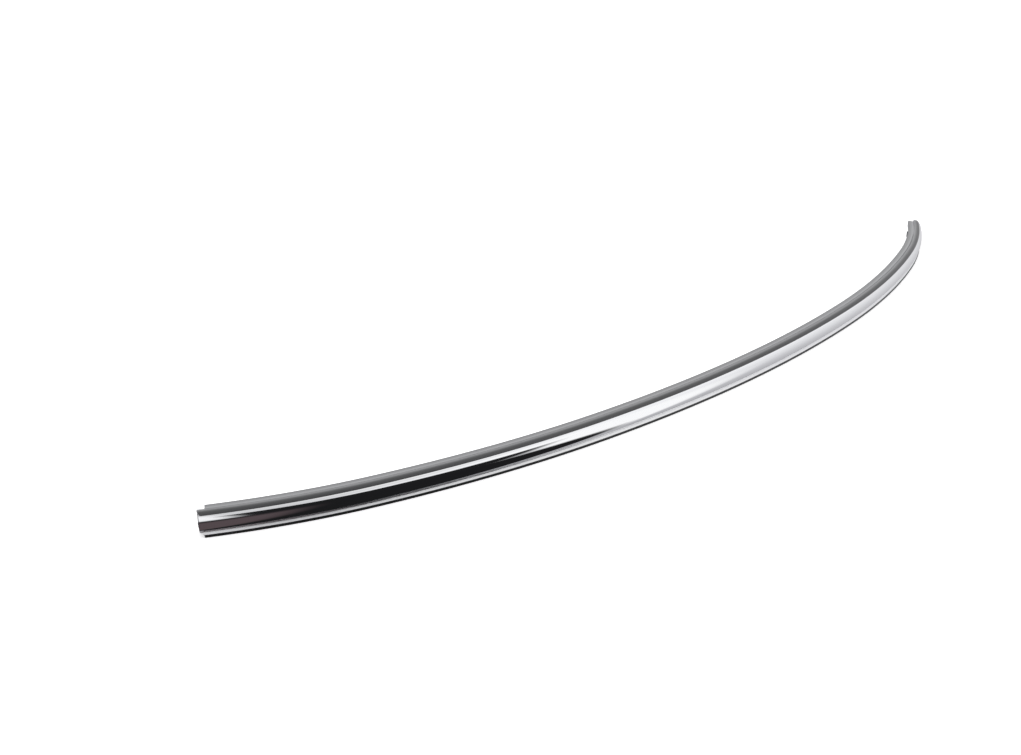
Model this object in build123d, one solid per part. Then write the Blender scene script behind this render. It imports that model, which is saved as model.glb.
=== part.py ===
"""Curved bright trim moulding: a crowned bright cover crimped round a slotted carrier rail,
with soft seals above and below it and stud clips that slide in the rail's rear slot.

Frame, in millimetres: +X runs along the moulding, +Y points into the vehicle body, +Z is up.
The origin lies on the moulding's mid-plane, at the mouth of the centre clip's stud hole.

Every long piece is one cross-section carried round a plan outline of tangent arcs. A section is
drawn in (depth, height): depth is measured inwards from the outline, towards the body, and
height is measured up from the surface that the moulding stands on.
"""

from build123d import *

import os
from math import cos, degrees, sin, sqrt

# ---- Driving dimensions: plan outline, from the mid-plane to one end -------------------------
CENTRE_RADIUS, CENTRE_HALF_LENGTH = 1907.0, 243.0
SHOULDER_RADIUS, SHOULDER_LENGTH = 1376.0, 270.0
END_RADIUS, END_LENGTH = 714.0, 162.0
HALF_LENGTH = CENTRE_HALF_LENGTH + SHOULDER_LENGTH + END_LENGTH

# ---- Driving dimensions: section ------------------------------------------------------------
TOTAL_HEIGHT = 24.2  # lower lip to the back edge of the upper seal
TOTAL_DEPTH = 18.0  # lip nose to the body face
SHEET = 0.7  # cover thickness
FACE_TOP_DEPTH, FACE_TOP = 2.8, 21.3  # where the face folds into the top flange
FACE_FOOT_DEPTH, FACE_FOOT = 2.3, 4.9  # where the crowned face meets the foot flare
FLARE_TIP_DEPTH, COVER_BOTTOM = 0.3, 2.7  # outer corner of the foot flare
CROWN_RISE = 4.35  # how far the face bulges out of its chord
HEM_HEIGHT = 3.0  # the cover's edges, turned over the rail's back
RAIL_FRONT, RAIL_WALL = 4.7, 1.3
SLOT_MOUTH_HALF = 4.1  # half height of the slot in the rail's back
SEAM = 10.0  # depth of the groove between the bead and the upper seal
SEAM_GAP = 0.5
BEAD_TOE, BEAD_SHOULDER, BEAD_TOP = 20.85, 22.75, 23.8  # heights of the bead, from its front
BEAD_SHOULDER_DEPTH, BEAD_CROWN_START = 3.9, 7.3
SEAL_LEG = 5.0  # how far each seal's rear leg reaches up or down the body face
LEG_THICKNESS = 1.3  # each rear leg, between the cover and the body
LIP_RADIUS, SEAL_EDGE_RADIUS = 0.6, 0.8

# ---- Driving dimensions: lengths, each measured from the outline's own end -------------------
COVER_OVERHANG = 4.5  # cover and bead run past the lower seal
FILLING_INSET = 0.1  # rail and backings stop just inside the cover's ends
SEAL_SHORTFALL = 3.0  # the upper seal stops short of the lower one
COVER_CORNER = 5.0  # radius of the cover's lower corners, seen from the front
BACKINGS, BACKING_GAP, BACKING_CLEARANCE = 13, 1.0, 0.1  # end to end behind the face
BACKING_LOW, BACKING_HIGH = 5.7, 19.4  # heights of their lower and upper sides

# ---- Driving dimensions: clips and their hardware ---------------------------------------------
CLIP_SPACING, CLIPS_EACH_SIDE = 200.0, 3
CLIP_TRAVEL, CLIP_CLEARANCE = 6.0, 0.3
CLIP_HALF_LENGTH, CENTRE_CLIP_HALF_LENGTH = 9.0, 12.0
NECK_SHOULDER = 2.0  # the neck is this much shorter than the head at each end
CLIP_HEAD_RADIUS, CLIP_NECK_CHAMFER, CLIP_FRONT_WALL = 1.5, 0.5, 0.65
STUD_HOLE_RADIUS, STUD_HOLE_LEAD_IN = 2.6, 0.6
CLIP_REAR_INSET = 0.3  # the clip's rear face stops short of the body face
NUT_SIZE, NUT_THICKNESS, NUT_HOLE_RADIUS, NUT_DEPTH = 9.0, 0.5, 2.3, 8.2
NUT_SLIT, NUT_SLIT_REACH, NUT_POCKET_CLEARANCE = 0.6, 1.2, 0.05
STOP_LENGTH, STOP_HEIGHT = 2.0, 1.2
END_BLOCK_LENGTH, END_BLOCK_CLEARANCE, END_BLOCK_INSET = 16.0, 0.15, 0.4
SCREW_RADIUS, SCREW_HEAD_RADIUS, SCREW_HEAD_HEIGHT, SCREW_HEAD_ROUND = 1.5, 2.8, 1.8, 0.9
SCREW_HEAD_SUNK, SCREW_TIP_GAP = 0.8, 0.1  # below the rail's back, and from its front
SCREW_CLEARANCE, SCREW_HEAD_CLEARANCE = 0.1, 0.2  # all round, in the end block
GRUB_OFFSET, GRUB_SOCKET_RADIUS, GRUB_SOCKET_DEPTH = 7.6, 0.85, 2.0
GRUB_SUNK, GRUB_TIP_GAP, GRUB_TIP_CHAMFER = 1.0, 0.05, 0.5
CROSS_SLOT_WIDTH, CROSS_SLOT_LENGTH, CROSS_SLOT_DEPTH = 0.7, 3.2, 1.1
PAST = 1.0  # how far each cutter runs past the face that it opens
NEAR = 0.01  # edges this close to a place are taken to be at it

# ---- Worked out from the driving dimensions ---------------------------------------------------
COVER_REAR = TOTAL_DEPTH - LEG_THICKNESS  # outside of the cover's hems
RAIL_REAR = COVER_REAR - SHEET
RAIL_TOP, RAIL_BOTTOM = FACE_TOP - SHEET, COVER_BOTTOM + SHEET
AXIS_HEIGHT = (RAIL_TOP + RAIL_BOTTOM) / 2  # height of the stud holes
SLOT_FRONT, SLOT_REAR = RAIL_FRONT + RAIL_WALL, RAIL_REAR - RAIL_WALL
SLOT_HALF = (RAIL_TOP - RAIL_BOTTOM) / 2 - RAIL_WALL
CLIP_REAR = TOTAL_DEPTH - CLIP_REAR_INSET
COVER_HALF = HALF_LENGTH + COVER_OVERHANG
FILLING_HALF = COVER_HALF - FILLING_INSET
ORIGIN_SHIFT = Location((0, -CLIP_REAR, -AXIS_HEIGHT))


def outline_stretches():
    """(start, end, radius) of each arc of the plan outline, as distances from the mid-plane."""
    shoulder, end = CENTRE_HALF_LENGTH, CENTRE_HALF_LENGTH + SHOULDER_LENGTH
    far = HALF_LENGTH + COVER_OVERHANG
    return [
        (-far, -end, END_RADIUS),
        (-end, -shoulder, SHOULDER_RADIUS),
        (-shoulder, shoulder, CENTRE_RADIUS),
        (shoulder, end, SHOULDER_RADIUS),
        (end, far, END_RADIUS),
    ]


def outline_at(distance):
    """(x, y, heading) of the plan outline at a signed distance from the mid-plane."""
    x = y = heading = travelled = 0.0
    side = 1 if distance >= 0 else -1
    for start, end, radius in outline_stretches()[2:]:
        step = min(abs(distance), end) - travelled
        turned = heading + step / radius
        x += radius * (sin(turned) - sin(heading))
        y += radius * (cos(heading) - cos(turned))
        heading, travelled = turned, travelled + step
        if travelled >= abs(distance):
            break
    return side * x, y, side * heading


def section_plane(distance):
    """Plane across the outline: local x is depth into the body, local y is height."""
    x, y, heading = outline_at(distance)
    return Plane(
        origin=(x, y, 0),
        x_dir=(-sin(heading), cos(heading), 0),
        z_dir=(cos(heading), sin(heading), 0),
    )


def station(distance):
    """Location on the outline: local x along it, local y into the body, local z up."""
    x, y, heading = outline_at(distance)
    return Location((x, y, 0), (0, 0, degrees(heading)))


def carried_between(section, low, high):
    """A section carried round the outline, between two distances from the mid-plane."""
    pieces = []
    for start, end, radius in outline_stretches():
        start, end = max(start, low), min(end, high)
        if end <= start:
            continue
        plane = section_plane(start)
        centre = plane.origin + plane.x_dir * radius
        face = plane * section
        pieces.append(
            revolve(face, Axis(centre, (0, 0, 1)), degrees((end - start) / radius))
        )
    whole = pieces[0]
    for piece in pieces[1:]:
        whole += piece
    return whole


def carried(section, half_length):
    """A section carried round the outline, half_length to each side of the mid-plane."""
    return carried_between(section, -half_length, half_length)


def polygon(*points):
    """A section face with straight sides."""
    return make_face(Polyline(*points, close=True))


def box_between(low, high):
    """A box from its lowest to its highest corner, in a station's own axes."""
    size = [b - a for a, b in zip(low, high)]
    middle = [(a + b) / 2 for a, b in zip(low, high)]
    return Pos(*middle) * Box(*size)


def rod(radius, x, front, rear, height=AXIS_HEIGHT):
    """A round bar along the depth direction, in a station's own axes."""
    length = rear - front
    return Pos(x, (front + rear) / 2, height) * Rot(90, 0, 0) * Cylinder(radius, length)


def cross(reach, half, front, rear):
    """Two crossed bars on the stud axis, such as the slot of a screw."""
    bars = [
        box_between((-a, front, AXIS_HEIGHT - b), (a, rear, AXIS_HEIGHT + b))
        for a, b in ((reach, half), (half, reach))
    ]
    return bars[0] + bars[1]


def crown_arc():
    """(centre depth, centre height, radius) of the circle that the cover's face follows."""
    rise = CROWN_RISE
    along_d, along_h = FACE_FOOT_DEPTH - FACE_TOP_DEPTH, FACE_FOOT - FACE_TOP
    chord = sqrt(along_d**2 + along_h**2)
    radius = ((chord / 2) ** 2 + rise**2) / (2 * rise)
    mid_d, mid_h = (FACE_TOP_DEPTH + FACE_FOOT_DEPTH) / 2, (FACE_TOP + FACE_FOOT) / 2
    back = radius - rise
    return mid_d - along_h / chord * back, mid_h + along_d / chord * back, radius


def crown_depth(height, inset):
    """Depth of the crowned face's surface, inset into the sheet, at a height."""
    centre_d, centre_h, radius = crown_arc()
    return centre_d - sqrt((radius - inset) ** 2 - (height - centre_h) ** 2)


def cover_section():
    """Crowned face, foot flare, flanges and the hems that grip the rail."""
    _, centre_h, _ = crown_arc()
    crest = crown_depth(centre_h, 0)
    inner_crest = crown_depth(centre_h, SHEET)
    inner_foot = FACE_FOOT + SHEET
    foot_corner = RAIL_FRONT - SHEET / 2
    edges = [
        ThreePointArc(
            (FACE_TOP_DEPTH, FACE_TOP), (crest, centre_h), (FACE_FOOT_DEPTH, FACE_FOOT)
        ),
        Polyline(
            (FACE_FOOT_DEPTH, FACE_FOOT),
            (FLARE_TIP_DEPTH, COVER_BOTTOM),
            (COVER_REAR, COVER_BOTTOM),
            (COVER_REAR, COVER_BOTTOM + HEM_HEIGHT),
            (RAIL_REAR, COVER_BOTTOM + HEM_HEIGHT),
            (RAIL_REAR, RAIL_BOTTOM),
            (foot_corner, RAIL_BOTTOM),
            (crown_depth(inner_foot, SHEET), inner_foot),
        ),
        ThreePointArc(
            (crown_depth(inner_foot, SHEET), inner_foot),
            (inner_crest, centre_h),
            (crown_depth(RAIL_TOP, SHEET), RAIL_TOP),
        ),
        Polyline(
            (crown_depth(RAIL_TOP, SHEET), RAIL_TOP),
            (RAIL_REAR, RAIL_TOP),
            (RAIL_REAR, FACE_TOP - HEM_HEIGHT),
            (COVER_REAR, FACE_TOP - HEM_HEIGHT),
            (COVER_REAR, FACE_TOP),
            (FACE_TOP_DEPTH, FACE_TOP),
        ),
    ]
    return make_face(edges)


def with_round_corners(shape, inset):
    """Rounds the lower end corners, seen from the front, this far inside the cover's outline."""
    reach = COVER_CORNER
    block = box_between((-PAST, -reach, -PAST), (reach, TOTAL_DEPTH, reach))
    round_part = Cylinder(reach - inset, 4 * TOTAL_DEPTH)
    cutter = block - Pos(reach, 0, reach) * Rot(90, 0, 0) * round_part
    cutter = Pos(0, 0, COVER_BOTTOM) * cutter
    shape -= station(-COVER_HALF) * cutter
    return shape - station(COVER_HALF) * mirror(cutter, Plane.YZ)


def bright_cover():
    """The visible crowned strip."""
    return with_round_corners(carried(cover_section(), COVER_HALF), 0)


def carrier_rail():
    """Slotted rail inside the cover, with a pair of stops beside each clip that slides."""
    mouth_low, mouth_high = AXIS_HEIGHT - SLOT_MOUTH_HALF, AXIS_HEIGHT + SLOT_MOUTH_HALF
    slot_low, slot_high = AXIS_HEIGHT - SLOT_HALF, AXIS_HEIGHT + SLOT_HALF
    section = polygon(
        (RAIL_FRONT, RAIL_BOTTOM),
        (RAIL_REAR, RAIL_BOTTOM),
        (RAIL_REAR, mouth_low),
        (SLOT_REAR, mouth_low),
        (SLOT_REAR, slot_low),
        (SLOT_FRONT, slot_low),
        (SLOT_FRONT, slot_high),
        (SLOT_REAR, slot_high),
        (SLOT_REAR, mouth_high),
        (RAIL_REAR, mouth_high),
        (RAIL_REAR, RAIL_TOP),
        (RAIL_FRONT, RAIL_TOP),
    )
    rail = with_round_corners(carried(section, FILLING_HALF), FILLING_INSET)
    from_clip = CLIP_HALF_LENGTH + CLIP_TRAVEL + CLIP_CLEARANCE
    sunk = RAIL_WALL / 2
    for distance in sliding_stations():
        for side in (-1, 1):
            near, far = side * from_clip, side * (from_clip + STOP_LENGTH)
            low_x, high_x = min(near, far), max(near, far)
            for low_z, high_z in (
                (slot_low - sunk, slot_low + STOP_HEIGHT),
                (slot_high - STOP_HEIGHT, slot_high + sunk),
            ):
                stop = box_between(
                    (low_x, SLOT_FRONT - sunk, low_z), (high_x, SLOT_REAR - sunk, high_z)
                )
                rail += station(distance) * stop
    for side in (-1, 1):
        tapped = rod(SCREW_RADIUS, 0, RAIL_FRONT - RAIL_WALL, SLOT_FRONT + RAIL_WALL)
        rail -= station(side * end_block_distance()) * tapped
    return rail


def upper_bead():
    """Soft bead along the top of the face, lapped over its fold and flush with the cover's ends."""
    bead_rear = SEAM - SEAM_GAP / 2
    fold, crown = (FACE_TOP_DEPTH, FACE_TOP), (BEAD_CROWN_START, BEAD_TOP)
    toe, lap = (crown_depth(BEAD_TOE, 0), BEAD_TOE), (BEAD_TOE + FACE_TOP) / 2
    edges = [
        ThreePointArc(toe, (BEAD_SHOULDER_DEPTH, BEAD_SHOULDER), crown),
        Polyline(crown, (bead_rear, BEAD_TOP), (bead_rear, FACE_TOP), fold),
        ThreePointArc(fold, (crown_depth(lap, 0), lap), toe),
    ]
    return carried(make_face(edges), COVER_HALF)


def upper_seal():
    """Soft strip behind the bead, with a leg down the body face."""
    front = SEAM + SEAM_GAP / 2
    section = polygon(
        (front, FACE_TOP),
        (COVER_REAR, FACE_TOP),
        (COVER_REAR, FACE_TOP - SEAL_LEG),
        (TOTAL_DEPTH, FACE_TOP - SEAL_LEG),
        (TOTAL_DEPTH, TOTAL_HEIGHT),
        (front, BEAD_TOP),
    )
    section = rounded(section, SEAL_EDGE_RADIUS, lambda p: p.Y > BEAD_TOP - SHEET)
    return carried(section, HALF_LENGTH - SEAL_SHORTFALL)


def lower_seal():
    """Soft strip under the cover, with a lip in front and a leg up the body face."""
    section = polygon(
        (0, 0),
        (TOTAL_DEPTH, 0),
        (TOTAL_DEPTH, COVER_BOTTOM + SEAL_LEG),
        (COVER_REAR, COVER_BOTTOM + SEAL_LEG),
        (COVER_REAR, COVER_BOTTOM),
        (0, COVER_BOTTOM),
    )
    section = rounded(section, LIP_RADIUS, lambda p: p.X < FLARE_TIP_DEPTH)
    return carried(section, HALF_LENGTH)


def rounded(section, radius, chosen):
    """Rounds the corners of a section that chosen picks by their place."""
    corners = [v for v in section.vertices() if chosen(Vector(v))]
    return fillet(corners, radius)


def backing_section():
    """Section of the filler between the rail and the crowned face."""
    inset = SHEET + BACKING_CLEARANCE
    low, high = BACKING_LOW, BACKING_HIGH
    _, centre_h, _ = crown_arc()
    edges = [
        ThreePointArc(
            (crown_depth(low, inset), low),
            (crown_depth(centre_h, inset), centre_h),
            (crown_depth(high, inset), high),
        ),
        Polyline(
            (crown_depth(high, inset), high),
            (RAIL_FRONT, high),
            (RAIL_FRONT, low),
            (crown_depth(low, inset), low),
        ),
    ]
    return make_face(edges)


def face_backings():
    """Moulded lengths that keep the crowned sheet from denting, in order from the left."""
    section, pitch = backing_section(), 2 * FILLING_HALF / BACKINGS
    middles = [(n + 0.5) * pitch - FILLING_HALF for n in range(BACKINGS)]
    half = (pitch - BACKING_GAP) / 2
    return [carried_between(section, at - half, at + half) for at in middles]


def sliding_stations():
    """Distances from the mid-plane of the clips that slide."""
    steps = [n * CLIP_SPACING for n in range(1, CLIPS_EACH_SIDE + 1)]
    return [-s for s in reversed(steps)] + steps


def stud_clip(half_length):
    """T-shaped clip: a head in the rail's slot, a neck through its mouth and a blind stud hole."""
    head_half = SLOT_HALF - CLIP_CLEARANCE
    neck_half = SLOT_MOUTH_HALF - CLIP_CLEARANCE
    neck_length = half_length - NECK_SHOULDER
    front, shoulder = SLOT_FRONT + CLIP_CLEARANCE, SLOT_REAR - CLIP_CLEARANCE
    head = box_between(
        (-half_length, front, AXIS_HEIGHT - head_half),
        (half_length, shoulder, AXIS_HEIGHT + head_half),
    )
    upright = [e for e in head.edges() if abs(e.tangent_at(0).Y) > 0.9]
    head = fillet(upright, CLIP_HEAD_RADIUS)
    neck = box_between(
        (-neck_length, shoulder - PAST, AXIS_HEIGHT - neck_half),
        (neck_length, CLIP_REAR, AXIS_HEIGHT + neck_half),
    )
    rear = [e for e in neck.edges() if e.center().Y > CLIP_REAR - NEAR]
    neck = chamfer(rear, CLIP_NECK_CHAMFER)
    clip = head + neck
    clip -= rod(STUD_HOLE_RADIUS, 0, front + CLIP_FRONT_WALL, CLIP_REAR + PAST)
    mouth = Pos(0, CLIP_REAR, AXIS_HEIGHT) * Rot(90, 0, 0)
    clip -= mouth * Pos(0, 0, STUD_HOLE_LEAD_IN / 2) * Cone(
        STUD_HOLE_RADIUS + STUD_HOLE_LEAD_IN, STUD_HOLE_RADIUS, STUD_HOLE_LEAD_IN
    )
    return clip - nut_blank(NUT_POCKET_CLEARANCE, head_half + PAST)


def nut_blank(clearance=0.0, top=NUT_SIZE / 2):
    """The push-on nut's square plate, or the pocket for it, which is open at the top."""
    half = NUT_SIZE / 2 + clearance
    return box_between(
        (-half, NUT_DEPTH - clearance, AXIS_HEIGHT - half),
        (half, NUT_DEPTH + NUT_THICKNESS + clearance, AXIS_HEIGHT + top),
    )


def push_nut():
    """Spring-steel plate with a slit hole, which bites on the stud."""
    front, rear = NUT_DEPTH - PAST, NUT_DEPTH + NUT_THICKNESS + PAST
    nut = nut_blank() - rod(NUT_HOLE_RADIUS, 0, front, rear)
    return nut - cross(NUT_HOLE_RADIUS + NUT_SLIT_REACH, NUT_SLIT / 2, front, rear)


def centre_clip():
    """The clip that is locked on the mid-plane, with a tapped hole for each grub screw."""
    clip = stud_clip(CENTRE_CLIP_HALF_LENGTH)
    for side in (-1, 1):
        clip -= rod(SCREW_RADIUS, side * GRUB_OFFSET, SLOT_FRONT, CLIP_REAR + PAST)
    return clip


def grub_screw(side):
    """Set screw through the centre clip, which bears on the rail."""
    x = side * GRUB_OFFSET
    front, rear = SLOT_FRONT + GRUB_TIP_GAP, CLIP_REAR - GRUB_SUNK
    screw = rod(SCREW_RADIUS, x, front, rear)
    tip = [e for e in screw.edges() if abs(e.center().Y - front) < NEAR]
    screw = chamfer(tip, GRUB_TIP_CHAMFER)
    socket = extrude(
        Plane((x, rear, AXIS_HEIGHT), x_dir=(1, 0, 0), z_dir=(0, 1, 0))
        * RegularPolygon(GRUB_SOCKET_RADIUS, 6),
        -GRUB_SOCKET_DEPTH,
    )
    return screw - socket


def end_block_distance():
    """Distance from the mid-plane of each end block's middle."""
    return FILLING_HALF - END_BLOCK_INSET - END_BLOCK_LENGTH / 2


def end_block():
    """Plug that closes the rail's slot and keeps the clips in."""
    gap = END_BLOCK_CLEARANCE
    half, head_half = END_BLOCK_LENGTH / 2, SLOT_HALF - gap
    neck_half = SLOT_MOUTH_HALF - gap
    block = box_between(
        (-half, SLOT_FRONT + gap, AXIS_HEIGHT - head_half),
        (half, SLOT_REAR - gap, AXIS_HEIGHT + head_half),
    )
    block += box_between(
        (-half, SLOT_REAR - 2 * gap, AXIS_HEIGHT - neck_half),
        (half, RAIL_REAR, AXIS_HEIGHT + neck_half),
    )
    block -= rod(SCREW_RADIUS + SCREW_CLEARANCE, 0, SLOT_FRONT - PAST, RAIL_REAR + PAST)
    return block - rod(
        SCREW_HEAD_RADIUS + SCREW_HEAD_CLEARANCE, 0, screw_seat(), RAIL_REAR + PAST
    )


def screw_seat():
    """Depth of the face that an end screw's head bears on."""
    return RAIL_REAR - SCREW_HEAD_HEIGHT - SCREW_HEAD_SUNK


def end_screw():
    """Pan-head screw through the end block into the rail."""
    seat = screw_seat()
    head = rod(SCREW_HEAD_RADIUS, 0, seat, seat + SCREW_HEAD_HEIGHT)
    rim = [e for e in head.edges() if abs(e.center().Y - seat - SCREW_HEAD_HEIGHT) < NEAR]
    head = fillet(rim, SCREW_HEAD_ROUND)
    screw = head + rod(SCREW_RADIUS, 0, RAIL_FRONT + SCREW_TIP_GAP, seat)
    floor = seat + SCREW_HEAD_HEIGHT - CROSS_SLOT_DEPTH
    return screw - cross(CROSS_SLOT_LENGTH / 2, CROSS_SLOT_WIDTH / 2, floor, RAIL_REAR)


def all_parts():
    """Every sub-part by node name, in the outline's frame."""
    parts = {
        "bright_cover": bright_cover(),
        "carrier_rail": carrier_rail(),
        "upper_bead": upper_bead(),
        "upper_seal": upper_seal(),
        "lower_seal": lower_seal(),
        "centre_clip": centre_clip(),
        "centre_push_nut": push_nut(),
    }
    for number, backing in enumerate(face_backings(), start=1):
        parts[f"face_backing_{number}"] = backing
    clip, nut = stud_clip(CLIP_HALF_LENGTH), push_nut()
    for number, distance in enumerate(sliding_stations(), start=1):
        parts[f"stud_clip_{number}"] = station(distance) * clip
        parts[f"push_nut_{number}"] = station(distance) * nut
    for name, side in (("left", -1), ("right", 1)):
        place = station(side * end_block_distance())
        parts[f"end_block_{name}"] = place * end_block()
        parts[f"end_screw_{name}"] = place * end_screw()
        parts[f"grub_screw_{name}"] = grub_screw(side)
    return parts


def main():
    """Writes one STEP file per sub-part, with the origin at the centre clip's stud hole."""
    os.makedirs("parts", exist_ok=True)
    for name, shape in all_parts().items():
        export_step(ORIGIN_SHIFT * shape, f"parts/{name}.step")


if __name__ == "__main__":
    main()
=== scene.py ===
"""Finished surfaces, stage, lights and camera for a curved bright trim moulding.

The moulding's four long visible pieces are made here as smooth swept meshes in place of their CAD
nodes. The rail, backings, clips, nuts, blocks and screws keep their CAD shapes and get materials.
Lengths are in metres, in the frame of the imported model, except where a name ends in _MM.
"""

from math import asin, ceil, cos, degrees, radians, sin, sqrt

import bmesh
import bpy
from bpy.props import FloatProperty, FloatVectorProperty, PointerProperty
from mathutils import Matrix, Vector


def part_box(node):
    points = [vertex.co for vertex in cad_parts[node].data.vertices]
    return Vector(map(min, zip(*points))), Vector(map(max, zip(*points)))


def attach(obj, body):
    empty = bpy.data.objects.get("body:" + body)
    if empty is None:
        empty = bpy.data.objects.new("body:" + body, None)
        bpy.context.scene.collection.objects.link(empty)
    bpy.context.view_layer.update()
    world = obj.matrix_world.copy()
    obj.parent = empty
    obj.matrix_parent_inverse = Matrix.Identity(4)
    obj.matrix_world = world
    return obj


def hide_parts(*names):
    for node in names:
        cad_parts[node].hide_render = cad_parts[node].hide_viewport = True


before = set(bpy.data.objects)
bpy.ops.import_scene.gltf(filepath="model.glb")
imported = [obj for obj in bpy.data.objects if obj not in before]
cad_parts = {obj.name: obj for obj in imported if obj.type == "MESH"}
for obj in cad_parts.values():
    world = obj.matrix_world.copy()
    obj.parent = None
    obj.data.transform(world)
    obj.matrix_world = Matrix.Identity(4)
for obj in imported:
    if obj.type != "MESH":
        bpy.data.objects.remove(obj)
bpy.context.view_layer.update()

bl_info = {
    "name": "Curved Trim Moulding",
    "version": (1, 0, 0),
    "blender": (4, 5, 0),
    "location": "View3D > Sidebar > Moulding",
    "description": "Builds the finished surfaces and the studio for a curved bright trim moulding",
    "category": "Object",
}

MM = 0.001
BODY = "moulding"
UV_NAME = "lengthwise"

# ---- Plan outline: (length, radius) of each arc, from the mid-plane to one end, in millimetres ----
ARCS_MM = ((243.0, 1907.0), (270.0, 1376.0), (162.0, 714.0))
HALF_LENGTH_MM = sum(length for length, _ in ARCS_MM)
FRONT_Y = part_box("lower_seal")[0].y
FLOOR_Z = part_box("lower_seal")[0].z

# ---- Section, in millimetres of depth into the body and of height above the floor ---------------
DEPTH_MM = 18.0
FACE_TOP_MM = (2.8, 21.3)
FACE_FOOT_MM = (2.3, 4.9)
FLARE_TIP_MM = (0.3, 2.7)
CROWN_RISE_MM = 4.35
CREASE_START_MM = 5.2
FOOT_START_MM, FOOT_END_MM = 17.2, 19.6  # down the face, from the fold
SHEET_MM = 0.7
HEM_MM = 3.0
COVER_REAR_MM = 16.7
RAIL_FRONT_MM = 4.7
BEAD_REAR_MM, SEAL_FRONT_MM = 9.75, 10.25
BEAD_TOE_MM, BEAD_TOP_MM, SEAL_TOP_MM = 20.85, 23.8, 24.2
BEAD_SHOULDER_MM, BEAD_CROWN_START_MM = (3.9, 22.75), 7.3
SEAL_LEG_MM = 5.0
LEG_GROOVE_MM = 0.35
UPPER_GROOVES_MM, LOWER_GROOVES_MM = (17.8, 19.3, 20.8), (3.1, 4.6, 6.1)  # their heights
DRIP_START_MM, DRIP_WIDTH_MM, DRIP_SIDE_MM = 16.4, 0.8, 0.2  # groove along the upper seal
DRIP_DEPTH_MM, DRIP_RISE_MM = 0.3, 0.02
CHANNEL_MM, CHANNEL_SIDE_MM, CHANNEL_DEPTH_MM = (6.0, 13.0), 0.6, 0.3  # under the lower seal

# ---- Roundings of the sections' corners, in millimetres, and points on their curves --------------
FOLD_ROUND_MM, BEND_ROUND_MM, HEM_ROUND_MM = 0.12, 0.6, 0.25
BEAD_REAR_ROUND_MM, SEAL_FRONT_ROUND_MM, SEAL_TOP_ROUND_MM = 0.45, 0.5, 0.7
LIP_TOP_ROUND_MM, LIP_FOOT_ROUND_MM, HEEL_ROUND_MM = 0.4, 0.6, 0.4
LEG_INNER_ROUND_MM, LEG_OUTER_ROUND_MM = 0.2, 0.3
GROOVE_ROUND_MM, CHANNEL_ROUND_MM = 0.1, 0.2
FACE_POINTS, INSIDE_POINTS, LAP_POINTS, BEAD_POINTS = 44, 24, 4, 16
CREASE_STEPS, ROUNDING_STEPS = 10, 6
SHARP_ANGLE = radians(32)  # edges that turn more than this stay sharp

# ---- Ends, in millimetres ------------------------------------------------------------------------
COVER_OVERHANG_MM = 4.5
SEAL_SHORTFALL_MM = 3.0
COVER_CORNER_MM, BEAD_CORNER_MM, SEAL_CORNER_MM = 5.0, 2.4, 1.0
END_ZONE_MM, END_STATIONS = 14.0, 14  # the stretch where the stations draw together
STATION_SPACING_MM = 4.0


class TrimCoverSettings(bpy.types.PropertyGroup):
    """Finish of the bright cover."""

    colour: FloatVectorProperty(
        name="Sheet colour",
        description="Tint of the polished sheet",
        subtype="COLOR",
        size=3,
        min=0.0,
        max=1.0,
        default=(0.93, 0.935, 0.95),
    )
    roughness: FloatProperty(
        name="Roughness",
        description="Roughness of the sheet between its polishing lines",
        subtype="FACTOR",
        min=0.0,
        max=1.0,
        default=0.045,
    )
    foot_roughness: FloatProperty(
        name="Foot roughness",
        description="Roughness that is added where the sheet turns out at its foot",
        subtype="FACTOR",
        min=0.0,
        max=1.0,
        default=0.3,
    )
    ripple: FloatProperty(
        name="Ripple",
        description="Height of the slow waves that rolling leaves in the sheet",
        unit="LENGTH",
        min=0.0,
        default=0.00002,
    )


class TrimSealSettings(bpy.types.PropertyGroup):
    """Colours of the soft pieces, with painted light and shade in them."""

    # Painted shade: the bead's front and shoulder get this dark colour for the shade they face, not
    # for a darker rubber.
    bead_shaded_colour: FloatVectorProperty(
        name="Bead colour",
        description="Colour of the bead in front of the upper seal",
        subtype="COLOR",
        size=3,
        min=0.0,
        max=1.0,
        default=(0.026, 0.027, 0.029),
    )
    # Partly the rubber's own grey, partly painted light: the top of the band is given this light
    # grey for the overhead light on it.
    upper_lit_colour: FloatVectorProperty(
        name="Upper seal colour",
        description="Colour of the strip behind the bead",
        subtype="COLOR",
        size=3,
        min=0.0,
        max=1.0,
        default=(0.310, 0.313, 0.320),
    )
    # Partly the rubber's own dark colour, partly painted shade: the lip is made near black for the
    # shade under the cover.
    lower_shaded_colour: FloatVectorProperty(
        name="Lower seal colour",
        description="Colour of the lip under the cover",
        subtype="COLOR",
        size=3,
        min=0.0,
        max=1.0,
        default=(0.006, 0.0062, 0.0068),
    )


class TrimHardwareSettings(bpy.types.PropertyGroup):
    """Colours of the pieces inside and behind the cover."""

    rail_colour: FloatVectorProperty(
        name="Rail colour",
        description="Colour of the extruded rail, its backings and its end blocks",
        subtype="COLOR",
        size=3,
        min=0.0,
        max=1.0,
        default=(0.022, 0.022, 0.024),
    )
    clip_colour: FloatVectorProperty(
        name="Clip colour",
        description="Colour of the moulded nylon clips",
        subtype="COLOR",
        size=3,
        min=0.0,
        max=1.0,
        default=(0.70, 0.67, 0.58),
    )
    nut_colour: FloatVectorProperty(
        name="Nut colour",
        description="Colour of the spring-steel nuts",
        subtype="COLOR",
        size=3,
        min=0.0,
        max=1.0,
        default=(0.26, 0.25, 0.27),
    )
    screw_colour: FloatVectorProperty(
        name="Screw colour",
        description="Colour of the zinc-plated screws",
        subtype="COLOR",
        size=3,
        min=0.0,
        max=1.0,
        default=(0.62, 0.62, 0.58),
    )


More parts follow.
